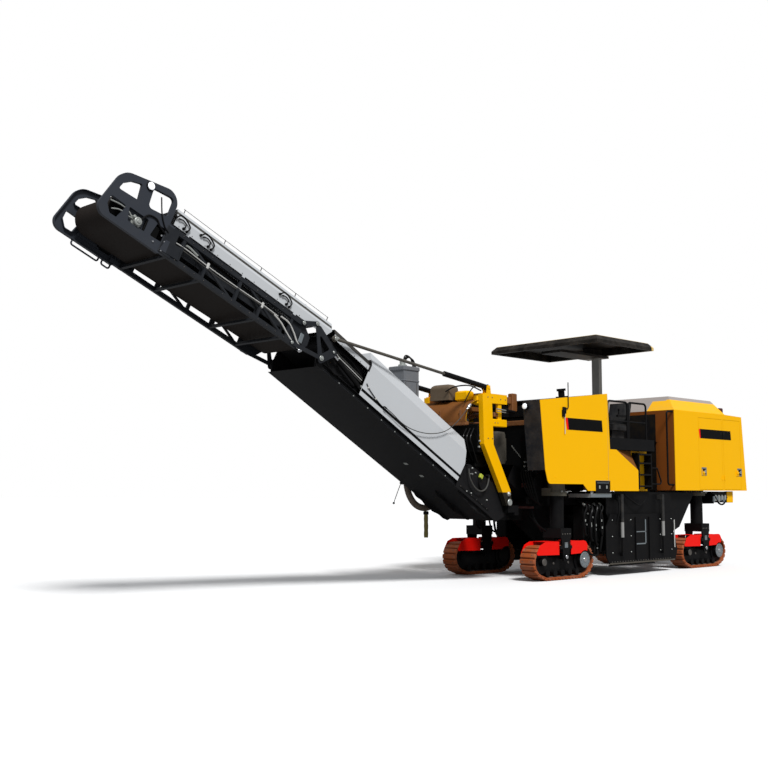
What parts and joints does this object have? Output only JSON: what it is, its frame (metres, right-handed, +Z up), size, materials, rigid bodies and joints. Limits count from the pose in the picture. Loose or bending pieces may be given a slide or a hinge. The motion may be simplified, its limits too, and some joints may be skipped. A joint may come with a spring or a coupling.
{
  "type": "tracked cold planer milling machine",
  "caption": "Cold planer on four steered crawlers: milling drum between the axles, standing platform with canopy, rear engine, front folding loading conveyor on a slewing bracket.",
  "frame": {"origin": "on the ground, in the middle of the overall length and width", "axes": "+X forwards to the tip of the loading conveyor, +Y to the left side, +Z up"},
  "size_m": [15.4621, 2.58, 5.4946],
  "materials": {
    "yellow_paint": "satin yellow enamel",
    "grey_paint": "satin blue-grey enamel",
    "black_paint": "satin black enamel",
    "slate_paint": "satin slate-grey enamel",
    "red_paint": "satin red enamel",
    "track_pad": "worn brown polyurethane pads on a steel chain",
    "belt_rubber": "matt black rubber",
    "white_cover": "white painted aluminium sheet",
    "bright_steel": "hard-chromed rod",
    "drum_steel": "worn dark steel",
    "seat_cover": "black vinyl",
    "canopy_shell": "glass-fibre shell, tan above",
    "console_plastic": "black moulded plastic",
    "hose_grey": "grey rubber sheath",
    "hose_brown": "dusty ribbed rubber duct",
    "sleeve_fabric": "coated olive fabric",
    "engine_metal": "grey engine and cooler block"
  },
  "bodies": {
    "machine": {"canopy_mast": "grey_paint", "chassis_beams": "black_paint", "chassis_cross_members": "black_paint", "control_consoles": "console_plastic", "drum_housing": "black_paint", "engine_block": "engine_metal", "engine_housing": "yellow_paint", "engine_roof": "grey_paint", "engine_side_walls": "yellow_paint", "front_hood": "grey_paint", "hood_fittings": "black_paint", "ladders_and_rails": "black_paint", "lifting_columns": "grey_paint", "operator_seats": "seat_cover", "platform_deck": "black_paint", "primary_conveyor": "black_paint", "side_panels": "yellow_paint", "side_plate_cylinders": "black_paint", "tanks_and_boxes": "black_paint"},
    "crawler_front_left": {"crawler_frame_front_left": "black_paint", "crawler_track_front_left": "track_pad", "crawler_guards_front_left": "red_paint"},
    "crawler_front_right": {"crawler_frame_front_right": "black_paint", "crawler_track_front_right": "track_pad", "crawler_guards_front_right": "red_paint"},
    "crawler_rear_left": {"crawler_frame_rear_left": "black_paint", "crawler_track_rear_left": "track_pad", "crawler_guards_rear_left": "red_paint"},
    "crawler_rear_right": {"crawler_frame_rear_right": "black_paint", "crawler_track_rear_right": "track_pad", "crawler_guards_rear_right": "red_paint"},
    "drum": {"milling_drum": "drum_steel"},
    "side_plate_left": {"side_plate_left": "black_paint"},
    "side_plate_right": {"side_plate_right": "black_paint"},
    "moldboard": {"moldboard": "black_paint"},
    "engine_door_left_front": {"engine_door_left_front": "yellow_paint"},
    "engine_door_left_rear": {"engine_door_left_rear": "yellow_paint"},
    "engine_door_right_front": {"engine_door_right_front": "yellow_paint"},
    "engine_door_right_rear": {"engine_door_right_rear": "yellow_paint"},
    "rear_hatch": {"rear_hatch": "yellow_paint"},
    "canopy": {"canopy_roof": "canopy_shell"},
    "bracket": {"conveyor_bracket": "yellow_paint", "swivel_yoke": "black_paint", "extraction_box": "grey_paint", "dust_hose": "hose_brown", "drop_sleeve": "sleeve_fabric"},
    "lower_conveyor": {"conveyor_lower_frame": "black_paint", "conveyor_lower_cover": "white_cover", "conveyor_lower_belt": "belt_rubber", "conveyor_lower_pulleys": "black_paint", "signal_cable": "hose_grey", "foot_hose": "hose_grey"},
    "upper_conveyor": {"conveyor_upper_frame": "slate_paint", "conveyor_upper_cover": "white_cover", "conveyor_upper_belt": "belt_rubber", "conveyor_upper_pulleys": "black_paint"},
    "lift_barrels": {"lift_barrels": "black_paint"},
    "lift_rods": {"lift_rods": "bright_steel"},
    "fold_barrels": {"fold_barrels": "black_paint"},
    "fold_rods": {"fold_rods": "bright_steel"}
  },
  "joints": [
    {"name": "steer_front_left", "type": "hinge", "parent": "machine", "child": "crawler_front_left", "pos_m": [-1.42583, 0.926, 0], "axis": [0, 0, 1], "range_deg": [-20, 20]},
    {"name": "steer_front_right", "type": "hinge", "parent": "machine", "child": "crawler_front_right", "pos_m": [-1.42583, -0.926, 0], "axis": [0, 0, 1], "range_deg": [-20, 20]},
    {"name": "steer_rear_left", "type": "hinge", "parent": "machine", "child": "crawler_rear_left", "pos_m": [-6.13283, 0.926, 0], "axis": [0, 0, 1], "range_deg": [-20, 20]},
    {"name": "steer_rear_right", "type": "hinge", "parent": "machine", "child": "crawler_rear_right", "pos_m": [-6.13283, -0.926, 0], "axis": [0, 0, 1], "range_deg": [-20, 20]},
    {"name": "drum_turn", "type": "hinge", "parent": "machine", "child": "drum", "pos_m": [-3.82583, 0, 0.76], "axis": [0, 1, 0], "continuous": true},
    {"name": "side_plate_lift_left", "type": "slide", "parent": "machine", "child": "side_plate_left", "axis": [0, 0, 1], "range_m": [0, 0.25]},
    {"name": "side_plate_lift_right", "type": "slide", "parent": "machine", "child": "side_plate_right", "axis": [0, 0, 1], "range_m": [0, 0.25]},
    {"name": "moldboard_lift", "type": "slide", "parent": "machine", "child": "moldboard", "axis": [0, 0, 1], "range_m": [0, 0.2]},
    {"name": "door_left_front", "type": "hinge", "parent": "machine", "child": "engine_door_left_front", "pos_m": [-6.67083, 1.256, 0], "axis": [0, 0, 1], "range_deg": [0, 85]},
    {"name": "door_left_rear", "type": "hinge", "parent": "machine", "child": "engine_door_left_rear", "pos_m": [-6.74083, 1.256, 0], "axis": [0, 0, -1], "range_deg": [0, 85]},
    {"name": "door_right_front", "type": "hinge", "parent": "machine", "child": "engine_door_right_front", "pos_m": [-6.67083, -1.256, 0], "axis": [0, 0, -1], "range_deg": [0, 85]},
    {"name": "door_right_rear", "type": "hinge", "parent": "machine", "child": "engine_door_right_rear", "pos_m": [-6.74083, -1.256, 0], "axis": [0, 0, 1], "range_deg": [0, 85]},
    {"name": "rear_hatch_lift", "type": "hinge", "parent": "machine", "child": "rear_hatch", "pos_m": [-7.55506, 0, 2.955], "axis": [0, 1, 0], "range_deg": [0, 70]},
    {"name": "canopy_lower", "type": "slide", "parent": "machine", "child": "canopy", "axis": [0, 0, -1], "range_m": [0, 0.65]},
    {"name": "conveyor_slew", "type": "hinge", "parent": "machine", "child": "bracket", "pos_m": [-0.51583, 0, 0], "axis": [0, 0, 1], "range_deg": [-43.91, 36.09]},
    {"name": "conveyor_lift", "type": "hinge", "parent": "bracket", "child": "lower_conveyor", "pos_m": [-0.36718, 0.01016, 1.356], "axis": [0.0682, -0.9977, 0], "range_deg": [-10, 4]},
    {"name": "conveyor_fold", "type": "hinge", "parent": "lower_conveyor", "child": "upper_conveyor", "pos_m": [4.03407, 0.31098, 3.4681], "axis": [0.0682, -0.9977, 0], "range_deg": [-48, 5.67]},
    {"name": "lift_barrel_swing", "type": "hinge", "parent": "bracket", "child": "lift_barrels", "pos_m": [0.17256, 0.04705, 3.33], "axis": [0.0682, -0.9977, 0], "range_deg": [-11.7, 4.68]},
    {"name": "lift_rod_stroke", "type": "slide", "parent": "lift_barrels", "child": "lift_rods", "axis": [0.9903, 0.0677, 0.1215], "range_m": [-0.13561, 0.33888]},
    {"name": "fold_barrel_swing", "type": "hinge", "parent": "lower_conveyor", "child": "fold_barrels", "pos_m": [3.22624, 0.25577, 3.12284], "axis": [0.0682, -0.9977, 0], "range_deg": [-0.25, 2.05]},
    {"name": "fold_rod_stroke", "type": "slide", "parent": "fold_barrels", "child": "fold_rods", "axis": [0.7743, 0.0529, 0.6307], "range_m": [-0.02608, 0.22005]}
  ],
  "couplings": [
    {"joint": "steer_front_right", "follows": "steer_front_left", "ratio": 1},
    {"joint": "steer_rear_right", "follows": "steer_rear_left", "ratio": 1},
    {"joint": "lift_barrel_swing", "follows": "conveyor_lift", "ratio": 1.1696},
    {"joint": "lift_rod_stroke", "follows": "conveyor_lift", "m_per_rad": -1.9411},
    {"joint": "fold_barrel_swing", "follows": "conveyor_fold", "ratio": -0.04258},
    {"joint": "fold_rod_stroke", "follows": "conveyor_fold", "m_per_rad": -0.26255}
  ]
}
